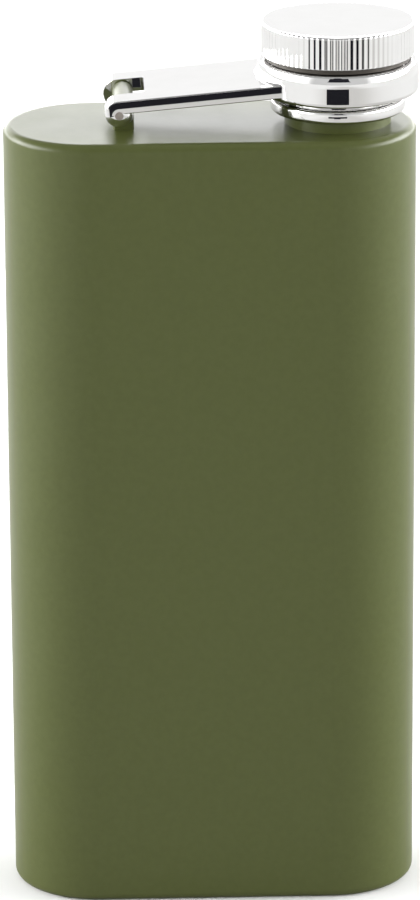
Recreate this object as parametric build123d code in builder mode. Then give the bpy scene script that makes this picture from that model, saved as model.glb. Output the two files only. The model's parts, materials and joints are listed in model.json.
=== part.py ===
from build123d import *
from math import asin, degrees
import os

# Slim hip flask with a captive screw cap on a hinged arm.
# Millimetres, +Z up. The base stands on Z = 0 with the body's axis on Z, the long side of
# the body runs along X, the front face looks along -Y and the cap stands at +X.

os.makedirs("parts", exist_ok=True)

# ---- Body -------------------------------------------------------------------------------
body_width = 60.0
body_depth = 25.0
body_height = 117.0
shell_wall = 0.6
top_edge_radius = 1.2
base_edge_radius = 1.2
plate_skirt = 4.0                # height of the turned-down wall of the top and base plates

# ---- Neck and its painted collar ----------------------------------------------------------
neck_inset = 11.4                # axis of the neck in from the body's end
neck_height = 8.7                # rim above the top plate
neck_radius = 6.6                # over the crests of the thread
neck_bore_radius = 5.3
neck_flange_radius = 7.6         # flange welded under the top plate
neck_flange_thickness = 0.8
neck_rim_radius = 0.35           # rounding of the drinking rim
collar_radius = 7.75
collar_height = 1.8
collar_edge_radius = 0.4

# ---- Hinge --------------------------------------------------------------------------------
arm_reach = 31.8                 # pin axis to cap axis, cap closed
pivot_height = 3.25              # pin axis above the top plate
pin_radius = 0.6
pin_running_gap = 0.05           # radial, pin in the lug's bore
pin_press_gap = 0.01             # radial, pin in the arm's two cheeks
lug_thickness = 3.0              # along X
lug_length = 7.8                 # along Y, between the cheeks
lug_crown_rise = 0.5             # centre of the lug's round top above the pin axis

# ---- Captive arm --------------------------------------------------------------------------
arm_width = 16.6
arm_thickness = 1.95
arm_flat = 1.1                   # upright part of the strap's sides
arm_under_radius = 2.5           # the sides curve in below the flat
arm_bottom_radius = 0.2          # softened lower long edges
arm_top_radius = 0.15            # softened upper long edges
arm_tilt = 5.0                   # degrees, the strap climbs from the pin to the ring
knuckle_radius = 2.15
knuckle_inset = 0.05             # the curled strap stands this proud of the knuckle
knuckle_end_radius = 1.85        # the knuckle ends in near half balls about the pin
curl_turn = 90                   # degrees that the strap curls round the pin past its top
curl_corner_radius = 0.8         # rounding of the curl's two corners, seen from above
slot_side_gap = 0.25             # each side of the lug
slot_reach = 3.9                 # slot's end beyond the pin axis
slot_corner_radius = 0.5

ring_radius = 11.75
ring_height = 4.75
ring_straight = 3.0              # upright part of the band; the shoulder curves in above it
ring_shoulder_radius = 5.2
ring_wall = 1.1
ring_floor = 1.1
ring_top_radius = 0.35
ring_bottom_radius = 0.7
ring_corner_radius = 0.5         # fillet in the two corners between strap and ring

# ---- Captive cap, sizes up from the collar ---------------------------------------------------
lip_radius = 9.8                 # rolled lip that keeps the ring on the cap
lip_thickness = 1.8
lip_edge_radius = 0.6
lip_above_plate = 2.05
ring_lip_gap = 0.85              # play between the lip and the ring above it
sleeve_radius = 8.5
sleeve_wall = 0.5
ring_sleeve_gap = 0.4            # radial
head_ring_gap = 0.75             # play between the ring and the head above it
head_radius = 11.1
head_height = 4.85
head_wall = 0.9
head_top = 0.8
head_edge_radius = 0.6
flute_count = 84
flute_depth = 0.18
flute_half_width = 0.2
sleeve_flange = 0.9              # thickness of the sleeve's top flange inside the head
cap_fit_gap = 0.05               # radial, pressed and glued pieces of the cap
thread_gap = 0.6                 # radial, neck to insert: both threads fit within it
insert_above_lip = 0.7           # insert's lower end above the lip's underside
insert_flange = 1.2              # insert's flange, which lies on the sleeve's inside the head
liner_thickness = 1.2
liner_rim_gap = 0.2              # liner above the neck's rim with the cap closed

# ---- Levels and radii that follow ------------------------------------------------------------
neck_x = body_width / 2 - neck_inset
pivot_x = neck_x - arm_reach
top_z = body_height
pivot_z = top_z + pivot_height
neck_rim_z = top_z + neck_height
lip_z = top_z + lip_above_plate
ring_z = lip_z + lip_thickness + ring_lip_gap
ring_top_z = ring_z + ring_height
head_z = ring_top_z + head_ring_gap
sleeve_bore_radius = sleeve_radius - sleeve_wall
ring_bore_radius = sleeve_radius + ring_sleeve_gap
ring_pocket_radius = ring_radius - ring_wall
shoulder_turn = degrees(asin((ring_height - ring_straight) / ring_shoulder_radius))
head_bore_radius = head_radius - head_wall
flange_radius = head_bore_radius - cap_fit_gap
sleeve_top_z = head_z + sleeve_flange
insert_radius = sleeve_bore_radius - cap_fit_gap
insert_bore_radius = neck_radius + thread_gap
insert_z = lip_z + insert_above_lip
insert_top_z = sleeve_top_z + insert_flange
liner_z = neck_rim_z + liner_rim_gap
slot_width = lug_length + 2 * slot_side_gap
strap_direction = Vector(1, 0, 0).rotate(Axis.Y, -arm_tilt)
strap_length = (neck_x - pivot_x) / strap_direction.X
arm_under_turn = degrees(asin((arm_thickness - arm_flat) / arm_under_radius))

neck_axis = Axis((neck_x, 0, 0), (0, 0, 1))
pin_axis = Axis((pivot_x, 0, pivot_z), (0, 1, 0))
neck_section = Plane(origin=(neck_x, 0, 0), x_dir=(1, 0, 0), z_dir=(0, -1, 0))
pin_end = Plane(origin=(pivot_x, 0, pivot_z), x_dir=(1, 0, 0), z_dir=(0, -1, 0))
strap_section = Plane(origin=(pivot_x, 0, pivot_z), x_dir=(0, 1, 0), z_dir=strap_direction)
strap_plan = Plane(origin=(pivot_x, 0, pivot_z), x_dir=strap_direction,
                   z_dir=strap_direction.rotate(Axis.Y, -90))


def body_outline(inset=0, mode=Mode.ADD):
    """Stadium outline of the body, drawn in by the inset."""
    SlotOverall(body_width - 2 * inset, body_depth - 2 * inset, mode=mode)


# ---- Body: a wrapped wall with a dished plate welded to each end --------------------------------
with BuildPart() as body_wrap:
    with BuildSketch(Plane.XY.offset(plate_skirt)):
        body_outline()
        body_outline(shell_wall, Mode.SUBTRACT)
    extrude(amount=body_height - 2 * plate_skirt)
body_wrap.part.label = "body_wrap"
export_step(body_wrap.part, "parts/body_wrap.step")

with BuildPart() as base_plate:
    with BuildSketch(Plane.XY):
        body_outline()
    extrude(amount=plate_skirt)
    fillet(base_plate.faces().sort_by(Axis.Z)[0].edges(), base_edge_radius)
    offset(amount=-shell_wall, openings=base_plate.faces().sort_by(Axis.Z)[-1])
base_plate.part.label = "base_plate"
export_step(base_plate.part, "parts/base_plate.step")

with BuildPart() as top_plate:
    with BuildSketch(Plane.XY.offset(top_z - plate_skirt)):
        body_outline()
    extrude(amount=plate_skirt)
    fillet(top_plate.faces().sort_by(Axis.Z)[-1].edges(), top_edge_radius)
    offset(amount=-shell_wall, openings=top_plate.faces().sort_by(Axis.Z)[0])
    with BuildSketch(Plane.XY.offset(top_z)):
        with Locations((neck_x, 0)):
            Circle(neck_radius)
    extrude(amount=-2 * shell_wall, mode=Mode.SUBTRACT)
top_plate.part.label = "top_plate"
export_step(top_plate.part, "parts/top_plate.step")

# ---- Neck: a threaded tube, flanged under the plate, with the collar around its foot -------------
with BuildPart() as neck_tube:
    with BuildSketch(neck_section) as neck_profile:
        with BuildLine():
            Polyline(
                (neck_bore_radius, top_z - shell_wall - neck_flange_thickness),
                (neck_flange_radius, top_z - shell_wall - neck_flange_thickness),
                (neck_flange_radius, top_z - shell_wall),
                (neck_radius, top_z - shell_wall),
                (neck_radius, neck_rim_z),
                (neck_bore_radius, neck_rim_z),
                close=True,
            )
        make_face()
        fillet(neck_profile.vertices().group_by(Axis.Y)[-1], neck_rim_radius)
    revolve(axis=neck_axis)
neck_tube.part.label = "neck_tube"
export_step(neck_tube.part, "parts/neck_tube.step")

with BuildPart() as neck_collar:
    with BuildSketch(Plane.XY.offset(top_z)):
        with Locations((neck_x, 0)):
            Circle(collar_radius)
            Circle(neck_radius, mode=Mode.SUBTRACT)
    extrude(amount=collar_height)
    collar_rim = neck_collar.edges().group_by(Axis.Z)[-1].sort_by(SortBy.RADIUS)[-1]
    fillet(collar_rim, collar_edge_radius)
neck_collar.part.label = "neck_collar"
export_step(neck_collar.part, "parts/neck_collar.step")

# ---- Hinge lug on the top plate, and its pin ------------------------------------------------------
with BuildPart() as hinge_lug:
    with BuildSketch(pin_end):
        with Locations((0, lug_crown_rise)):
            Circle(lug_thickness / 2)
            Rectangle(lug_thickness, pivot_height + lug_crown_rise, align=(Align.CENTER, Align.MAX))
        Circle(pin_radius + pin_running_gap, mode=Mode.SUBTRACT)
    extrude(amount=lug_length / 2, both=True)
hinge_lug.part.label = "hinge_lug"
export_step(hinge_lug.part, "parts/hinge_lug.step")

with BuildPart() as hinge_pin:
    with BuildSketch(pin_end):
        Circle(pin_radius)
    extrude(amount=arm_width / 2, both=True)
hinge_pin.part.label = "hinge_pin"
export_step(hinge_pin.part, "parts/hinge_pin.step")

# ---- Captive arm: strap, pin knuckle and ring in one piece ----------------------------------------
with BuildPart() as hinge_arm:
    # strap from over the pin to the axis of the ring, curled round the pin at its other end
    with BuildSketch(strap_section) as strap_profile:
        with BuildLine():
            flat_foot = knuckle_radius - arm_flat
            near_side = JernArc((arm_width / 2, flat_foot), (0, -1), arm_under_radius, -arm_under_turn)
            far_side = JernArc((-arm_width / 2, flat_foot), (0, -1), arm_under_radius, arm_under_turn)
            Polyline(
                near_side @ 0,
                (arm_width / 2, knuckle_radius),
                (-arm_width / 2, knuckle_radius),
                far_side @ 0,
            )
            Line(near_side @ 1, far_side @ 1)
        make_face()
        fillet(strap_profile.vertices().group_by(Axis.Y)[0], arm_bottom_radius)
        fillet(strap_profile.vertices().group_by(Axis.Y)[-1], arm_top_radius)
    extrude(amount=strap_length)
    revolve(strap_profile.sketch, axis=pin_axis, revolution_arc=-curl_turn)
    with BuildSketch(strap_plan) as strap_outline:
        with Locations((-knuckle_radius, 0)):
            Rectangle(knuckle_radius + strap_length, arm_width, align=(Align.MIN, Align.CENTER))
        fillet(strap_outline.vertices().group_by(Axis.X)[0], curl_corner_radius)
    extrude(amount=2 * knuckle_radius, both=True, mode=Mode.INTERSECT)
    # the strap stops inside the ring's wall
    with BuildSketch(Plane.XY.offset(top_z)):
        with Locations((neck_x, 0)):
            Circle(ring_radius - ring_wall / 2)
    extrude(amount=ring_top_z - top_z, mode=Mode.SUBTRACT)
    # ball-ended knuckle about the pin
    with BuildSketch(Plane.XY.offset(pivot_z)) as knuckle_profile:
        with Locations((pivot_x, 0)):
            Rectangle(
                knuckle_radius - knuckle_inset,
                arm_width - 2 * knuckle_inset,
                align=(Align.MAX, Align.CENTER),
            )
        fillet(knuckle_profile.vertices().group_by(Axis.X)[0], knuckle_end_radius)
    revolve(axis=pin_axis)
    # ring: a crowned band with a floor that the cap's sleeve passes through
    with BuildSketch(neck_section) as ring_profile:
        with BuildLine():
            upright = Line((ring_radius, ring_z), (ring_radius, ring_z + ring_straight))
            shoulder = JernArc(upright @ 1, upright % 1, ring_shoulder_radius, shoulder_turn)
            Polyline(
                shoulder @ 1,
                (ring_pocket_radius, ring_top_z),
                (ring_pocket_radius, ring_z + ring_floor),
                (ring_bore_radius, ring_z + ring_floor),
                (ring_bore_radius, ring_z),
                (ring_radius, ring_z),
            )
        make_face()
        fillet(ring_profile.vertices().group_by(Axis.Y)[0].sort_by(Axis.X)[-1], ring_bottom_radius)
        fillet(ring_profile.vertices().group_by(Axis.Y)[-1].sort_by(Axis.X)[-1], ring_top_radius)
    revolve(axis=neck_axis)
    upright_edges = hinge_arm.edges().filter_by(Axis.Z)
    fillet(upright_edges.filter_by_position(Axis.X, neck_x - ring_radius, neck_x), ring_corner_radius)
    # slot for the lug, open over the curled end
    with BuildSketch(strap_plan) as slot_outline:
        Rectangle(slot_reach, slot_width, align=(Align.MIN, Align.CENTER))
        fillet(slot_outline.vertices().group_by(Axis.X)[-1], slot_corner_radius)
        Rectangle(2 * knuckle_radius, slot_width, align=(Align.MAX, Align.CENTER))
    extrude(amount=2 * knuckle_radius, both=True, mode=Mode.SUBTRACT)
    with BuildSketch(pin_end):
        Circle(pin_radius + pin_press_gap)
    extrude(amount=arm_width, both=True, mode=Mode.SUBTRACT)
hinge_arm.part.label = "hinge_arm"
export_step(hinge_arm.part, "parts/hinge_arm.step")

# ---- Cap: fluted head, sleeve with a rolled lip, threaded insert and sealing liner ----------------
with BuildPart() as cap_head:
    with BuildSketch(Plane.XY.offset(head_z)):
        with Locations((neck_x, 0)):
            Circle(head_radius)
    extrude(amount=head_height)
    fillet(cap_head.edges().group_by(Axis.Z)[-1], head_edge_radius)
    with BuildSketch(Plane.XY.offset(head_z)):
        with Locations((neck_x, 0)):
            Circle(head_bore_radius)
    extrude(amount=head_height - head_top, mode=Mode.SUBTRACT)
    with BuildSketch(Plane.XY.offset(head_z)):
        with Locations((neck_x, 0)):
            with PolarLocations(head_radius, flute_count):
                Polygon(
                    (-flute_depth, 0),
                    (flute_depth, 2 * flute_half_width),
                    (flute_depth, -2 * flute_half_width),
                    align=None,
                )
    extrude(amount=head_height, mode=Mode.SUBTRACT)
cap_head.part.label = "cap_head"
export_step(cap_head.part, "parts/cap_head.step")

with BuildPart() as cap_sleeve:
    with BuildSketch(neck_section) as sleeve_profile:
        with Locations((sleeve_bore_radius, lip_z)):
            Rectangle(lip_radius - sleeve_bore_radius, lip_thickness, align=(Align.MIN, Align.MIN))
        fillet(sleeve_profile.vertices().group_by(Axis.X)[-1], lip_edge_radius)
        with Locations((sleeve_bore_radius, lip_z)):
            Rectangle(sleeve_wall, sleeve_top_z - lip_z, align=(Align.MIN, Align.MIN))
        with Locations((sleeve_bore_radius, head_z)):
            Rectangle(flange_radius - sleeve_bore_radius, sleeve_flange, align=(Align.MIN, Align.MIN))
    revolve(axis=neck_axis)
cap_sleeve.part.label = "cap_sleeve"
export_step(cap_sleeve.part, "parts/cap_sleeve.step")

with BuildPart() as cap_insert:
    with BuildSketch(neck_section):
        with BuildLine():
            Polyline(
                (0, liner_z + liner_thickness),
                (insert_bore_radius, liner_z + liner_thickness),
                (insert_bore_radius, insert_z),
                (insert_radius, insert_z),
                (insert_radius, sleeve_top_z),
                (flange_radius, sleeve_top_z),
                (flange_radius, insert_top_z),
                (0, insert_top_z),
                close=True,
            )
        make_face()
    revolve(axis=neck_axis)
cap_insert.part.label = "cap_insert"
export_step(cap_insert.part, "parts/cap_insert.step")

with BuildPart() as cap_liner:
    with BuildSketch(Plane.XY.offset(liner_z)):
        with Locations((neck_x, 0)):
            Circle(insert_bore_radius - cap_fit_gap)
    extrude(amount=liner_thickness)
cap_liner.part.label = "cap_liner"
export_step(cap_liner.part, "parts/cap_liner.step")
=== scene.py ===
import json
import math

import bpy
import bmesh
from mathutils import Matrix, Vector


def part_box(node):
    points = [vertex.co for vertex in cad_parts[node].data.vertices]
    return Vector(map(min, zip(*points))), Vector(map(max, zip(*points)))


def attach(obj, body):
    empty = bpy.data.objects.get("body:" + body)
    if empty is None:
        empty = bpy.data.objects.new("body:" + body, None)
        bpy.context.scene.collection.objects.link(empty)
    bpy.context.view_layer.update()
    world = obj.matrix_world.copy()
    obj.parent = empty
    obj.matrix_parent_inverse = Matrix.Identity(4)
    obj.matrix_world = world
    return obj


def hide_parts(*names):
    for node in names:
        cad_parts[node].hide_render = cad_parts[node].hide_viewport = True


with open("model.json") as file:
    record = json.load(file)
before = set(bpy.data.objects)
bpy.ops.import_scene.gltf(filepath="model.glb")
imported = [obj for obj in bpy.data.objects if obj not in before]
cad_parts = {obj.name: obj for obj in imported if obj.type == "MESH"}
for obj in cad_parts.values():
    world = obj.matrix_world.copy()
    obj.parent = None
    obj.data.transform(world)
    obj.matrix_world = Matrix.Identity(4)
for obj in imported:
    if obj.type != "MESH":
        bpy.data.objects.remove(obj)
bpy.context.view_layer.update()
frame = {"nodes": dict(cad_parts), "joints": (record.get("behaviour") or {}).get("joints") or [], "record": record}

# A painted hip flask with a captive chrome cap. All sizes are in metres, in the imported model's frame:
# the origin is in the middle of the flat base, +Z is up, +X points towards the cap, the front faces -Y.

MM = 0.001
TAU = 2 * math.pi


# ---- Sizes read from the frame ------------------------------------------------------------------

def joint_place(name):
    """Where the frame's joint of that name sits."""
    return next(joint["pos_m"] for joint in frame["joints"] if joint["name"] == name)


head_low, head_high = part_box("cap_head")
neck_low, neck_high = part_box("neck_tube")
insert_low, insert_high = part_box("cap_insert")
sleeve_low, sleeve_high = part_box("cap_sleeve")
liner_low, liner_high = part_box("cap_liner")
lug_low, lug_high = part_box("hinge_lug")
neck_mount = next(mount for mount in frame["record"]["mounts"] if mount["name"] == "neck")

CAP_X = joint_place("cap_turn")[0]
PLATE_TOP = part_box("top_plate")[1][2]
COLLAR_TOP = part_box("neck_collar")[1][2]
HEAD_RADIUS = (head_high[1] - head_low[1]) / 2
INSERT_RADIUS = (insert_high[1] - insert_low[1]) / 2
FLANGE_RADIUS = (sleeve_high[1] - sleeve_low[1]) / 2
NECK_BORE = neck_mount["dims"]["r_mm"] * MM


# ---- Node helpers -------------------------------------------------------------------------------

PRINCIPLED = "ShaderNodeBsdfPrincipled"
DIFFUSE = "ShaderNodeBsdfDiffuse"
WHITE = (1, 1, 1, 1)
NOISE_SPREAD = (0.3, 0.7)          # most of a noise's values lie between these


def add_node(tree, kind, inputs=None, **settings):
    """A node with its settings and unlinked inputs set."""
    node = tree.nodes.new(kind)
    for key, value in settings.items():
        setattr(node, key, value)
    for key, value in (inputs or {}).items():
        node.inputs[key].default_value = value
    return node


def new_material(name, kind, inputs=None):
    """A material, its node tree and the one shader in it."""
    material = bpy.data.materials.new(name)
    material.use_nodes = True
    tree = material.node_tree
    tree.nodes.clear()
    shader = add_node(tree, kind, inputs)
    output = add_node(tree, "ShaderNodeOutputMaterial")
    tree.links.new(shader.outputs[0], output.inputs["Surface"])
    return material, tree, shader


def place(tree):
    """The object's own coordinates."""
    return add_node(tree, "ShaderNodeTexCoord").outputs["Object"]


def noise(tree, scale, detail=2.0, roughness=0.5):
    """Noise over the object's own coordinates, its scale in features per metre."""
    node = add_node(tree, "ShaderNodeTexNoise", {"Scale": scale, "Detail": detail, "Roughness": roughness})
    tree.links.new(place(tree), node.inputs["Vector"])
    return node


def ramp(tree, source, reach, levels, kind="LINEAR"):
    """Maps one range of a value to another range."""
    node = add_node(tree, "ShaderNodeMapRange", interpolation_type=kind)
    for key, value in zip(("From Min", "From Max", "To Min", "To Max"), (*reach, *levels)):
        node.inputs[key].default_value = value
    tree.links.new(source, node.inputs["Value"])
    return node.outputs["Result"]


def smooth_step(tree, source, reach, levels=(0.0, 1.0)):
    """Maps one range of a value to another with soft ends."""
    return ramp(tree, source, reach, levels, "SMOOTHSTEP")


def maths(tree, operation, first, second=None):
    """A Math node over a socket and a number or a second socket."""
    node = add_node(tree, "ShaderNodeMath", operation=operation)
    tree.links.new(first, node.inputs[0])
    if isinstance(second, (int, float)):
        node.inputs[1].default_value = second
    elif second is not None:
        tree.links.new(second, node.inputs[1])
    return node.outputs[0]


def distance_from(tree, centre, stretch):
    """Distance from a point, with each axis stretched by its own factor."""
    shift = add_node(tree, "ShaderNodeVectorMath", {1: centre}, operation="SUBTRACT")
    tree.links.new(place(tree), shift.inputs[0])
    scale = add_node(tree, "ShaderNodeVectorMath", {1: stretch}, operation="MULTIPLY")
    tree.links.new(shift.outputs[0], scale.inputs[0])
    length = add_node(tree, "ShaderNodeVectorMath", operation="LENGTH")
    tree.links.new(scale.outputs[0], length.inputs[0])
    return length.outputs["Value"]


def mix_levels(tree, factor, first, second):
    """Blends two levels, each a number or a socket, by a factor socket."""
    node = add_node(tree, "ShaderNodeMix", data_type="FLOAT")
    tree.links.new(factor, node.inputs[0])
    for socket, level in ((node.inputs[2], first), (node.inputs[3], second)):
        if isinstance(level, (int, float)):
            socket.default_value = level
        else:
            tree.links.new(level, socket)
    return node.outputs[0]


def mix_colours(tree, factor, first, second):
    """Blends two colours, each a triple or a socket, by a factor socket."""
    node = add_node(tree, "ShaderNodeMix", data_type="RGBA")
    sockets = [socket for socket in node.inputs if socket.type == "RGBA"]
    for socket, colour in zip(sockets, (first, second)):
        if isinstance(colour, tuple):
            socket.default_value = (*colour, 1)
        else:
            tree.links.new(colour, socket)
    tree.links.new(factor, node.inputs[0])
    return next(socket for socket in node.outputs if socket.type == "RGBA")


def tint(tree, shader, source, dark, pale, spread=NOISE_SPREAD):
    """Lets the base colour wander between two colours with a noise."""
    colour = mix_colours(tree, ramp(tree, source.outputs["Fac"], spread, (0, 1)), dark, pale)
    tree.links.new(colour, shader.inputs["Base Color"])


def gloss(tree, shader, source, smooth, rough):
    """Lets the roughness wander between two values with a noise."""
    level = ramp(tree, source.outputs["Fac"], NOISE_SPREAD, (smooth, rough))
    tree.links.new(level, shader.inputs["Roughness"])


def bump(tree, source, strength, distance, under=None):
    """The normal that a noise's height gives, over another one; the distance is in metres."""
    node = add_node(tree, "ShaderNodeBump", {"Strength": strength, "Distance": distance})
    tree.links.new(source.outputs["Fac"], node.inputs["Height"])
    if under is not None:
        tree.links.new(under, node.inputs["Normal"])
    return node.outputs["Normal"]


def relief(tree, shader, source, strength, distance, under=None):
    """Gives the shader a bump."""
    tree.links.new(bump(tree, source, strength, distance, under), shader.inputs["Normal"])


# ---- Materials ----------------------------------------------------------------------------------

# Paint and steel stay rougher than about 0.28: where their roughness wanders across that level, the
# render's denoiser leaves blotches.

def olive_paint():
    """Satin powder coat: fine orange peel, faint mottling, sharp enough to mirror at a low angle."""
    material, tree, shader = new_material("olive_powder_coat", PRINCIPLED,
                                          {"IOR": 1.5, "Specular IOR Level": 0.36})
    mottle = noise(tree, scale=900, detail=4, roughness=0.6)
    tint(tree, shader, mottle, dark=(0.067, 0.079, 0.0200), pale=(0.073, 0.086, 0.0235),
         spread=(0.35, 0.65))
    gloss(tree, shader, noise(tree, scale=160, detail=3), smooth=0.285, rough=0.335)
    peel = bump(tree, noise(tree, scale=1100), strength=0.25, distance=6e-6)
    relief(tree, shader, noise(tree, scale=5200), strength=0.12, distance=3e-6, under=peel)
    return material


def polished_chrome():
    """Bright plating with the faint waviness and hairline haze of polished steel."""
    material, tree, shader = new_material("polished_chrome", PRINCIPLED, {"Metallic": 1.0})
    cloud = noise(tree, scale=220, detail=3)
    tint(tree, shader, cloud, dark=(0.71, 0.707, 0.700), pale=(0.735, 0.732, 0.727))
    gloss(tree, shader, noise(tree, scale=700, detail=3), smooth=0.008, rough=0.02)
    relief(tree, shader, noise(tree, scale=420, detail=1), strength=0.2, distance=8e-6)
    return material


def turned_steel(name, centre, across, dark, pale):
    """Bare steel with turning rings; the centre is on their axis and across is 0 along it."""
    material, tree, shader = new_material(name, PRINCIPLED, {"Metallic": 1.0})
    rings = add_node(tree, "ShaderNodeTexNoise", {"Scale": 9000, "Detail": 2}, noise_dimensions="1D")
    tree.links.new(distance_from(tree, centre, across), rings.inputs["W"])
    blotch = noise(tree, scale=900, detail=3)
    tint(tree, shader, blotch, dark, pale)
    gloss(tree, shader, blotch, smooth=0.29, rough=0.38)
    relief(tree, shader, rings, strength=0.4, distance=6e-6)
    return material


def pin_steel():
    """End of the hinge pin, turned about the arm's axis."""
    return turned_steel("pin_steel", joint_place("arm_pivot"), across=(1, 0, 1),
                        dark=(0.26, 0.235, 0.21), pale=(0.36, 0.33, 0.30))


def neck_steel():
    """Threaded neck, turned about the cap's axis."""
    return turned_steel("neck_steel", (CAP_X, 0, PLATE_TOP), across=(1, 1, 0),
                        dark=(0.50, 0.47, 0.43), pale=(0.62, 0.60, 0.57))


def moulded_plastic():
    """Natural white moulding with a soft waxy sheen."""
    material, tree, shader = new_material("natural_plastic", PRINCIPLED, {
        "IOR": 1.49, "Subsurface Weight": 0.08, "Subsurface Scale": 0.8 * MM})
    cloud = noise(tree, scale=350, detail=3)
    tint(tree, shader, cloud, dark=(0.70, 0.70, 0.66), pale=(0.76, 0.76, 0.73))
    gloss(tree, shader, cloud, smooth=0.38, rough=0.5)
    relief(tree, shader, noise(tree, scale=6000), strength=0.2, distance=4e-6)
    return material


def painted_gap_shade():
    """Painted shade for the gap under the head: a dull, dark brown, slightly streaked wall on the sleeve's tube
    that stands for the shade there.
    """
    material, tree, shader = new_material("painted_gap_shade", PRINCIPLED, {"Metallic": 0.3})
    streak = noise(tree, scale=800, detail=3)
    tint(tree, shader, streak, dark=(0.040, 0.034, 0.027), pale=(0.052, 0.045, 0.037))
    gloss(tree, shader, streak, smooth=0.45, rough=0.6)
    relief(tree, shader, streak, strength=0.2, distance=4e-6)
    return material


def seal_rubber():
    """Pale matt sealing disc."""
    material, tree, shader = new_material("seal_rubber", PRINCIPLED, {"IOR": 1.45})
    cloud = noise(tree, scale=1200, detail=4)
    tint(tree, shader, cloud, dark=(0.55, 0.55, 0.53), pale=(0.63, 0.63, 0.61))
    gloss(tree, shader, cloud, smooth=0.6, rough=0.75)
    relief(tree, shader, cloud, strength=0.3, distance=8e-6)
    return material


# ---- Mesh helpers -------------------------------------------------------------------------------

AROUND = 144                       # points round a turned piece
CORNER_STEPS = 8
SHARP_DEGREES = 35                 # edges that bend more than this stay sharp
FINE_SHARP_DEGREES = 40            # the same on the threads
FLUTED_SHARP_DEGREES = 50          # and on the knurl


def arc(centre, radius, first, last, steps):
    """Points of an arc about a centre, from one angle to another in degrees."""
    angles = [math.radians(first + (last - first) * i / steps) for i in range(steps + 1)]
    return [(centre[0] + radius * math.cos(angle), centre[1] + radius * math.sin(angle))
            for angle in angles]


def point_at(radius, turn, z):
    """A point beside the cap's axis, at a part of a turn."""
    return Vector((CAP_X + radius * math.cos(TAU * turn), radius * math.sin(TAU * turn), z))


def ring_of_points(radius, z, count=AROUND):
    """Points of a circle about the cap's axis."""
    return [point_at(radius, i / count, z) for i in range(count)]


def turned_rows(profile, count=AROUND):
    """A profile's radii and heights, each turned into a ring of points."""
    return [ring_of_points(radius, z, count) for radius, z in profile]


def join_rings(mesh, lower, upper):
    """A band of quads between two rings of as many vertices."""
    for i in range(len(lower)):
        j = (i + 1) % len(lower)
        mesh.faces.new((lower[i], lower[j], upper[j], upper[i]))


def ring_mesh(rows):
    """A mesh of quads between rings of points, and its rings of vertices."""
    mesh = bmesh.new()
    made = [[mesh.verts.new(p) for p in row] for row in rows]
    for lower, upper in zip(made, made[1:]):
        join_rings(mesh, lower, upper)
    return mesh, made


def close_ring(mesh, ring, point):
    """Closes a ring of vertices with a fan to a point on the axis."""
    centre = mesh.verts.new(point)
    for vertex, following in zip(ring, ring[1:] + ring[:1]):
        mesh.faces.new((vertex, following, centre))


def link_mesh(mesh, name, material):
    """Turns the bmesh into an object of the scene."""
    data = bpy.data.meshes.new(name)
    mesh.to_mesh(data)
    mesh.free()
    data.materials.append(material)
    piece = bpy.data.objects.new(name, data)
    bpy.context.scene.collection.objects.link(piece)
    return piece


def to_piece(mesh, name, material, body, sharp_degrees=SHARP_DEGREES):
    """Turns the bmesh into a smooth-shaded piece that rides on a body."""
    bmesh.ops.recalc_face_normals(mesh, faces=mesh.faces)
    for edge in mesh.edges:
        edge.smooth = not (edge.is_manifold and edge.calc_face_angle(0) > math.radians(sharp_degrees))
    for face in mesh.faces:
        face.smooth = True
    piece = link_mesh(mesh, name, material)
    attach(piece, body)
    return piece


# ---- Hinge lug ----------------------------------------------------------------------------------

LUG_LEAN = 0.65 * MM               # the lug stands this far inboard of the CAD's, still round the pin
LUG_EDGE = 0.25 * MM
LUG_STEPS = 32


def lug_outline(width, crown, inset):
    """Outline of the lug across the pin: a straight stem under a round crown."""
    radius = width / 2 - inset
    foot = lug_low[2]
    return [(radius, foot), *arc((0, crown), radius, 0, 180, LUG_STEPS), (-radius, foot)]


def lug(material):
    """Upright tab with a round crown and softened cheeks, that the arm's curled end turns about."""
    width = lug_high[0] - lug_low[0]
    crown = lug_high[2] - width / 2
    middle = (lug_low[0] + lug_high[0]) / 2 + LUG_LEAN
    front, back = lug_low[1], lug_high[1]
    rows = []
    for y, inset in ((front, LUG_EDGE), (front + LUG_EDGE, 0), (back - LUG_EDGE, 0), (back, LUG_EDGE)):
        rows.append([Vector((middle + x, y, z)) for x, z in lug_outline(width, crown, inset)])
    mesh, made = ring_mesh(rows)
    mesh.faces.new(made[0])
    mesh.faces.new(made[-1])
    piece = to_piece(mesh, "crowned_lug", material, "flask")
    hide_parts("hinge_lug")


# ---- Cap head -----------------------------------------------------------------------------------

FLUTES = 84
FLUTE_STEPS = 16                   # points round one flute
FLUTE_DEPTH = 0.09 * MM
HEAD_EDGE = 0.3 * MM               # radius of the upper rim
HEAD_FOOT = 0.12 * MM              # chamfer of the lower edge
HOLD = 0.04 * MM                   # rows this close to an edge keep the wall's shading straight
RIM_STEPS = 10
HEAD_SHARES = (0.8, 0.5, 0.2)      # rings on the flat top, as shares of the head's radius
HEAD_ROOF = 0.8 * MM               # thickness of the flat top
ROOF_SHARE = 0.2                   # the ring under the roof, as a share of the bore
INSERT_GAP = 0.05 * MM             # between the head's bore and the insert


def flute_depth(turn):
    """How far the knurled wall lies inside its ribs at a part of a turn, in soft waves."""
    return FLUTE_DEPTH * (1 - math.cos(TAU * FLUTES * turn)) / 2


def fluted_ring(inset, z, share, count):
    """Points round the head's wall, with a share of the flutes' full depth."""
    turns = [i / count for i in range(count)]
    return [point_at(HEAD_RADIUS - inset - share * flute_depth(turn), turn, z) for turn in turns]


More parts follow.
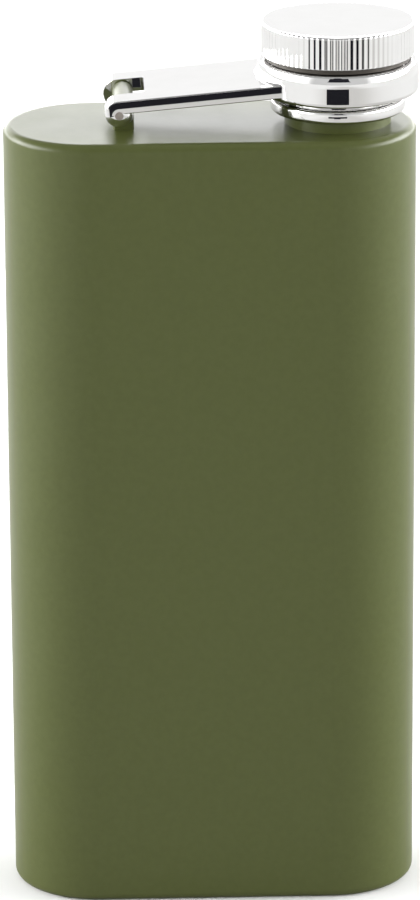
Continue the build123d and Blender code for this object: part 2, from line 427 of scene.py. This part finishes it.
def cap_head(material):
    """Fluted head with a rounded rim; the flutes run out in scallops over the rim."""
    count = FLUTES * FLUTE_STEPS
    z_low, z_high = head_low[2], head_high[2]
    levels = [(HEAD_FOOT, z_low, 1), (0, z_low + HEAD_FOOT, 1), (0, z_low + HEAD_FOOT + HOLD, 1),
              (0, z_high - HEAD_EDGE - HOLD, 1)]
    for i in range(RIM_STEPS + 1):
        angle = math.pi / 2 * i / RIM_STEPS
        share = math.cos(angle)
        levels.append((HEAD_EDGE * (1 - share), z_high - HEAD_EDGE * (1 - math.sin(angle)), share))
    outside = [fluted_ring(inset, z, share, count) for inset, z, share in levels]
    top = turned_rows([(HEAD_RADIUS * share, z_high) for share in HEAD_SHARES], count)
    bore = INSERT_RADIUS + INSERT_GAP
    z_roof = z_high - HEAD_ROOF
    inside = turned_rows([(bore * ROOF_SHARE, z_roof), (bore, z_roof), (bore, z_low)], count)
    mesh, made = ring_mesh(inside + outside + top)
    close_ring(mesh, made[0], (CAP_X, 0, z_roof))
    close_ring(mesh, made[-1], (CAP_X, 0, z_high))
    piece = to_piece(mesh, "fluted_cap_head", material, "cap", FLUTED_SHARP_DEGREES)
    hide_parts("cap_head")


# ---- Cap sleeve ---------------------------------------------------------------------------------

LIP_RADIUS = 9.8 * MM
LIP_EDGE = 0.6 * MM
LIP_DROP = 0.2 * MM                # the lip reaches this much lower than the CAD's
LIP_HEIGHT = 2.0 * MM
SLEEVE_RADIUS = 8.5 * MM
SLEEVE_BORE = 8.0 * MM
SHADE_TUBE_DEPTH = 2.2 * MM               # the dark tube, painted shade of the gap, reaches this far below the head
SHADE_RING_RADIUS = 10.6 * MM            # painted shade: a dark ring at the foot of the flange, which shows as the dark line of the gap under the head
SHADE_RING_HEIGHT = 0.65 * MM


def turned_ring(name, profile, material):
    """A closed profile of radii and heights turned about the cap's axis."""
    mesh, made = ring_mesh(turned_rows(profile))
    join_rings(mesh, made[-1], made[0])
    return to_piece(mesh, name, material, "cap")


def sleeve(plated, shade_brown):
    """Plated sleeve with its rolled lip, and the tube that shows in the gap under the head, dark brown as painted
    shade of that gap.
    """
    foot = head_low[2]
    z_join = foot - SHADE_TUBE_DEPTH
    z_low = sleeve_low[2] - LIP_DROP
    z_high = z_low + LIP_HEIGHT
    curl = LIP_RADIUS - LIP_EDGE
    lip = [(SLEEVE_BORE, z_low),
           *arc((curl, z_low + LIP_EDGE), LIP_EDGE, -90, 0, CORNER_STEPS),
           *arc((curl, z_high - LIP_EDGE), LIP_EDGE, 0, 90, CORNER_STEPS),
           (SLEEVE_RADIUS, z_high), (SLEEVE_RADIUS, z_join), (SLEEVE_BORE, z_join)]
    piece = turned_ring("rolled_lip", lip, plated)
    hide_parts("cap_sleeve")
    # Painted shade: the dark brown ring under the head's foot and the tube stand for the shade of the gap there.
    z_shade_ring = foot - SHADE_RING_HEIGHT
    tube = [(SLEEVE_BORE, z_join), (SLEEVE_RADIUS, z_join), (SLEEVE_RADIUS, z_shade_ring),
            (SHADE_RING_RADIUS, z_shade_ring), (SHADE_RING_RADIUS, foot), (FLANGE_RADIUS, foot),
            (FLANGE_RADIUS, sleeve_high[2]), (SLEEVE_BORE, sleeve_high[2])]
    turned_ring("sleeve_tube_painted_shade", tube, shade_brown)


# ---- Threads ------------------------------------------------------------------------------------

PITCH = 1.5 * MM
THREAD_STEPS = 10                  # rows of mesh per pitch
FLANK_SLOPE = 5.2                  # thread heights climbed per pitch
FLANK_TOP = 1.6                    # where the flanks would meet, in thread heights; the crest is cut at 1

NECK_CREST = 6.6 * MM
NECK_ROOT = 6.1 * MM
NECK_RIM = 0.35 * MM
NECK_RIM_STEPS = 6
NECK_FLANGE = 0.8 * MM
NECK_SHOULDER = 0.5 * MM           # cone between the collar and the thread
NECK_LEAD = 0.1 * MM               # plain root at either end of the thread
NECK_TIP = 0.5 * MM                # plain end above the thread
NECK_HOLD = 1.0 * MM               # row low in the bore that keeps its shading straight

INSERT_SHANK = 7.95 * MM
INSERT_ROOT = 7.2 * MM
INSERT_CREST = 6.9 * MM
INSERT_FLANGE = 1.2 * MM
INSERT_LEAD = 0.4 * MM             # plain mouth below the thread
INSERT_CHAMFER = 0.25 * MM


def thread_wave(z, turn, z_start, z_end):
    """0 in the root and 1 on the crest of a right-hand thread that fades in and out at its ends."""
    phase = (z / PITCH - turn) % 1.0
    flank = min(1.0, max(0.0, FLANK_TOP - abs(phase - 0.5) * FLANK_SLOPE))
    return flank * min(1.0, max(0.0, (z - z_start) / PITCH), max(0.0, (z_end - z) / PITCH))


def threaded_rows(root, crest, z_low, z_high, z_start, z_end):
    """Rings of points from z_low to z_high whose radius follows the thread."""
    count = max(2, round((z_high - z_low) / PITCH * THREAD_STEPS))
    turns = [i / AROUND for i in range(AROUND)]
    rows = []
    for step in range(count + 1):
        z = z_low + (z_high - z_low) * step / count
        radii = [root + (crest - root) * thread_wave(z, turn, z_start, z_end) for turn in turns]
        rows.append([point_at(radius, turn, z) for radius, turn in zip(radii, turns)])
    return rows


def neck(material):
    """Steel neck: flange, shank, rolled thread, rounded rim and bore."""
    flange = (neck_high[1] - neck_low[1]) / 2
    z_low, z_rim = neck_low[2], neck_high[2]
    z_flange = z_low + NECK_FLANGE
    z_shank = COLLAR_TOP + NECK_SHOULDER
    z_tip = z_rim - NECK_TIP
    foot = [(NECK_BORE, z_low), (flange, z_low), (flange, z_flange), (NECK_CREST, z_flange),
            (NECK_CREST, COLLAR_TOP), (NECK_ROOT, z_shank)]
    thread = threaded_rows(NECK_ROOT, NECK_CREST, z_shank + NECK_LEAD, z_tip - NECK_LEAD, z_shank, z_tip)
    z_curl = z_rim - NECK_RIM
    rim = [*arc((NECK_ROOT - NECK_RIM, z_curl), NECK_RIM, 0, 90, NECK_RIM_STEPS),
           *arc((NECK_BORE + NECK_RIM, z_curl), NECK_RIM, 90, 180, NECK_RIM_STEPS),
           (NECK_BORE, z_low + NECK_HOLD)]
    mesh, made = ring_mesh(turned_rows(foot) + thread + turned_rows(rim))
    join_rings(mesh, made[-1], made[0])
    piece = to_piece(mesh, "threaded_neck", material, "flask", FINE_SHARP_DEGREES)
    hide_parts("neck_tube")


def insert(material):
    """Moulded insert with an internal thread, its roof and its flange."""
    z_low, z_high = insert_low[2], insert_high[2]
    z_roof = liner_high[2]
    z_flange = z_high - INSERT_FLANGE
    z_mouth = z_low + INSERT_LEAD
    thread = threaded_rows(INSERT_ROOT, INSERT_CREST, z_mouth, z_roof, z_mouth + INSERT_LEAD, liner_low[2])
    outside = [(INSERT_ROOT + INSERT_CHAMFER, z_low), (INSERT_SHANK, z_low), (INSERT_SHANK, z_flange),
               (FLANGE_RADIUS, z_flange), (FLANGE_RADIUS, z_high)]
    mesh, made = ring_mesh(thread[::-1] + turned_rows(outside))
    close_ring(mesh, made[0], (CAP_X, 0, z_roof))
    close_ring(mesh, made[-1], (CAP_X, 0, z_high))
    piece = to_piece(mesh, "threaded_insert", material, "cap", FINE_SHARP_DEGREES)
    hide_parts("cap_insert")


# ---- The whole flask ----------------------------------------------------------------------------

def dress(node_names, material):
    """Gives CAD nodes a finished material."""
    for name in node_names:
        for slot in frame["nodes"][name].material_slots:
            slot.material = material


def flask():
    """Finishes the CAD nodes that keep their shape, and makes the pieces that stand for the others."""
    paint = olive_paint()
    chrome = polished_chrome()
    dress(("body_wrap", "base_plate", "top_plate", "neck_collar"), paint)
    dress(("hinge_arm",), chrome)
    dress(("hinge_pin",), pin_steel())
    dress(("cap_liner",), seal_rubber())
    cap_head(chrome)
    sleeve(chrome, painted_gap_shade())
    lug(paint)
    neck(neck_steel())
    insert(moulded_plastic())


# ---- Floor and cards ----------------------------------------------------------------------------

FLOOR_HALF = 4.0
FLOOR_BOUNCE = (0.45, 0.45, 0.443)     # what the floor throws back on the object
FLOOR_MIRRORED = (0.78, 0.78, 0.774)   # what the chrome and the paint mirror of it
FLOOR_SEEN = (0.95, 0.95, 0.95)        # what the camera sees of it
FLOOR_PAINTED_SHADE = (0.54, 0.532, 0.517)    # what they mirror of it about the floor card: a patch of painted shade
DIM_CENTRE = (0.10, -0.46, 0.0)        # middle of that patch of painted shade
DIM_REACH = (0.10, 0.42)               # it ends between these distances
DIM_STRETCH = (1.0, 0.3, 1.0)          # and is long towards the camera

CARD_BLACK = (0.012, 0.012, 0.015)
CARD_HEIGHT = 0.001                    # just above the floor
CARD_NEAR = 0.4545                     # the floor card is a sector about the cap's axis, so that the
CARD_FAR = 0.58                        # arm's ring and the lip mirror it as a rectangle
CARD_TURNS = (-108.3, -77.1)           # degrees from +X towards +Y
CARD_STEPS = 12
STRAP_CARD_X = (-0.05, 0.03)           # the arm's edge mirrors this one
STRAP_CARD_Y = (-0.455, -0.42)
CAMERA_CARD_Y = -0.93                  # an upright card, in place of the dark camera and its stand
CAMERA_CARD = ((-0.277, 0.25), (0.277, 0.25), (0.25, 0.31), (0.13, 0.55), (0.10, 1.2), (-0.10, 1.2),
               (-0.13, 0.55), (-0.25, 0.31))


def floor_material():
    """Pale floor that reads white to the camera and keeps the object's shadow; what the object mirrors of it has a
    patch of painted shade about the floor card.
    """
    material, tree, shader = new_material("pale_floor", DIFFUSE)
    away = distance_from(tree, DIM_CENTRE, DIM_STRETCH)
    # Painted shade: the floor that the object mirrors is darker about the floor card.
    mirrored = mix_colours(tree, smooth_step(tree, away, DIM_REACH), FLOOR_PAINTED_SHADE, FLOOR_MIRRORED)
    path = add_node(tree, "ShaderNodeLightPath")
    thrown = mix_colours(tree, path.outputs["Is Glossy Ray"], FLOOR_BOUNCE, mirrored)
    colour = mix_colours(tree, path.outputs["Is Camera Ray"], thrown, FLOOR_SEEN)
    tree.links.new(colour, shader.inputs["Color"])
    return material


def black_material():
    """Matt black for the cards that the chrome mirrors."""
    return new_material("black_card", DIFFUSE, {"Color": (*CARD_BLACK, 1)})[0]


def flat_piece(name, points, material, seen):
    """A flat polygon of the stage; unless it is seen, it only shows in what the object mirrors."""
    mesh = bmesh.new()
    mesh.faces.new([mesh.verts.new(p) for p in points])
    piece = link_mesh(mesh, name, material)
    piece.visible_camera = seen
    piece.visible_shadow = seen
    piece.visible_diffuse = seen


def rectangle(x_range, y_range, z):
    """Corners of a level rectangle."""
    (x0, x1), (y0, y1) = x_range, y_range
    return [(x0, y0, z), (x1, y0, z), (x1, y1, z), (x0, y1, z)]


def sector():
    """Outline of the floor card, between two arcs about the cap's axis."""
    near = arc((CAP_X, 0), CARD_NEAR, *CARD_TURNS, CARD_STEPS)
    far = arc((CAP_X, 0), CARD_FAR, *CARD_TURNS, CARD_STEPS)
    return [(x, y, CARD_HEIGHT) for x, y in near + far[::-1]]


def stage():
    """The floor, and the black cards whose mirror images show in the chrome."""
    reach = (-FLOOR_HALF, FLOOR_HALF)
    flat_piece("floor", rectangle(reach, reach, 0), floor_material(), seen=True)
    black = black_material()
    flat_piece("floor_card", sector(), black, seen=False)
    flat_piece("strap_card", rectangle(STRAP_CARD_X, STRAP_CARD_Y, CARD_HEIGHT), black, seen=False)
    flat_piece("camera_card", [(x, CAMERA_CARD_Y, z) for x, z in CAMERA_CARD], black, seen=False)


# ---- Light --------------------------------------------------------------------------------------

FRONT_LEVEL = 0.8                  # light from the camera's side
SIDE_LEVEL = 13.0                  # light from the two sides
BACK_LEVEL = 5.6                   # light from behind
TOP_LEVEL = 0.5                    # light from overhead
SEEN_LEVEL = 1.0                   # white to the camera
GAP_LEVEL = 1.19                   # plain gap between the two banks of light behind the object

# Where one level gives way to the next, as the Y or the Z of a direction of length 1.
FRONT_TO_SIDE = (-0.82, 0.0)
SIDE_TO_BACK = (0.35, 0.7)
BANK_TO_TOP = (0.37, 0.5)
GAP_MIDDLE = 0.245
GAP_EDGE = (0.055, 0.0715)         # above and below the gap's middle
GAP_TO_BACK = (0.5, 0.7)           # the gap is open only behind the object


def tent_level(tree):
    """How bright the light tent is in each direction."""
    direction = add_node(tree, "ShaderNodeTexCoord").outputs["Generated"]
    split = add_node(tree, "ShaderNodeSeparateXYZ")
    tree.links.new(direction, split.inputs[0])
    back, up = split.outputs["Y"], split.outputs["Z"]
    beside = smooth_step(tree, back, FRONT_TO_SIDE, (FRONT_LEVEL, SIDE_LEVEL))
    around = mix_levels(tree, smooth_step(tree, back, SIDE_TO_BACK), beside, BACK_LEVEL)
    tent = mix_levels(tree, smooth_step(tree, up, BANK_TO_TOP), around, TOP_LEVEL)
    off_middle = maths(tree, "ABSOLUTE", maths(tree, "SUBTRACT", up, GAP_MIDDLE))
    outside = smooth_step(tree, off_middle, GAP_EDGE)
    ahead = smooth_step(tree, back, GAP_TO_BACK, (1.0, 0.0))
    banks = maths(tree, "MAXIMUM", outside, ahead)
    return mix_levels(tree, banks, GAP_LEVEL, tent)


def studio_world():
    """Soft light tent, plain in front and brighter at the sides and behind; the camera sees white."""
    world = bpy.data.worlds.new("studio")
    world.use_nodes = True
    tree = world.node_tree
    tree.nodes.clear()
    lit = add_node(tree, "ShaderNodeBackground", {"Color": WHITE})
    tree.links.new(tent_level(tree), lit.inputs["Strength"])
    seen = add_node(tree, "ShaderNodeBackground", {"Color": WHITE, "Strength": SEEN_LEVEL})
    path = add_node(tree, "ShaderNodeLightPath")
    both = add_node(tree, "ShaderNodeMixShader")
    tree.links.new(path.outputs["Is Camera Ray"], both.inputs[0])
    tree.links.new(lit.outputs[0], both.inputs[1])
    tree.links.new(seen.outputs[0], both.inputs[2])
    output = add_node(tree, "ShaderNodeOutputWorld")
    tree.links.new(both.outputs[0], output.inputs["Surface"])
    bpy.context.scene.world = world


# ---- Camera -------------------------------------------------------------------------------------

AZIMUTH = -1.63                    # degrees, as are the elevation and the roll
ELEVATION = 18.577
ROLL = -0.344
DISTANCE = 0.85017
LOOK_AT = Vector((-0.00023, 0, 0.06676))
FOCAL_MM = 229.97
SENSOR_MM = 36.0
CLIP = (0.01, 50.0)                # nearest and farthest that it sees


def photo_camera():
    """Long-lens camera, a little above the front of the flask."""
    turn, rise = math.radians(AZIMUTH), math.radians(ELEVATION)
    back = Vector((math.sin(turn) * math.cos(rise), -math.cos(turn) * math.cos(rise), math.sin(rise)))
    data = bpy.data.cameras.new("photo_camera")
    data.sensor_width = SENSOR_MM
    data.lens = FOCAL_MM
    data.clip_start, data.clip_end = CLIP
    camera = bpy.data.objects.new("photo_camera", data)
    aim = (-back).to_track_quat("-Z", "Y").to_matrix() @ Matrix.Rotation(math.radians(ROLL), 3, "Z")
    camera.matrix_world = Matrix.Translation(LOOK_AT + back * DISTANCE) @ aim.to_4x4()
    bpy.context.scene.collection.objects.link(camera)
    bpy.context.scene.camera = camera


# ---- The scene ----------------------------------------------------------------------------------

flask()
stage()
studio_world()
photo_camera()
bpy.context.scene.view_settings.view_transform = "Standard"
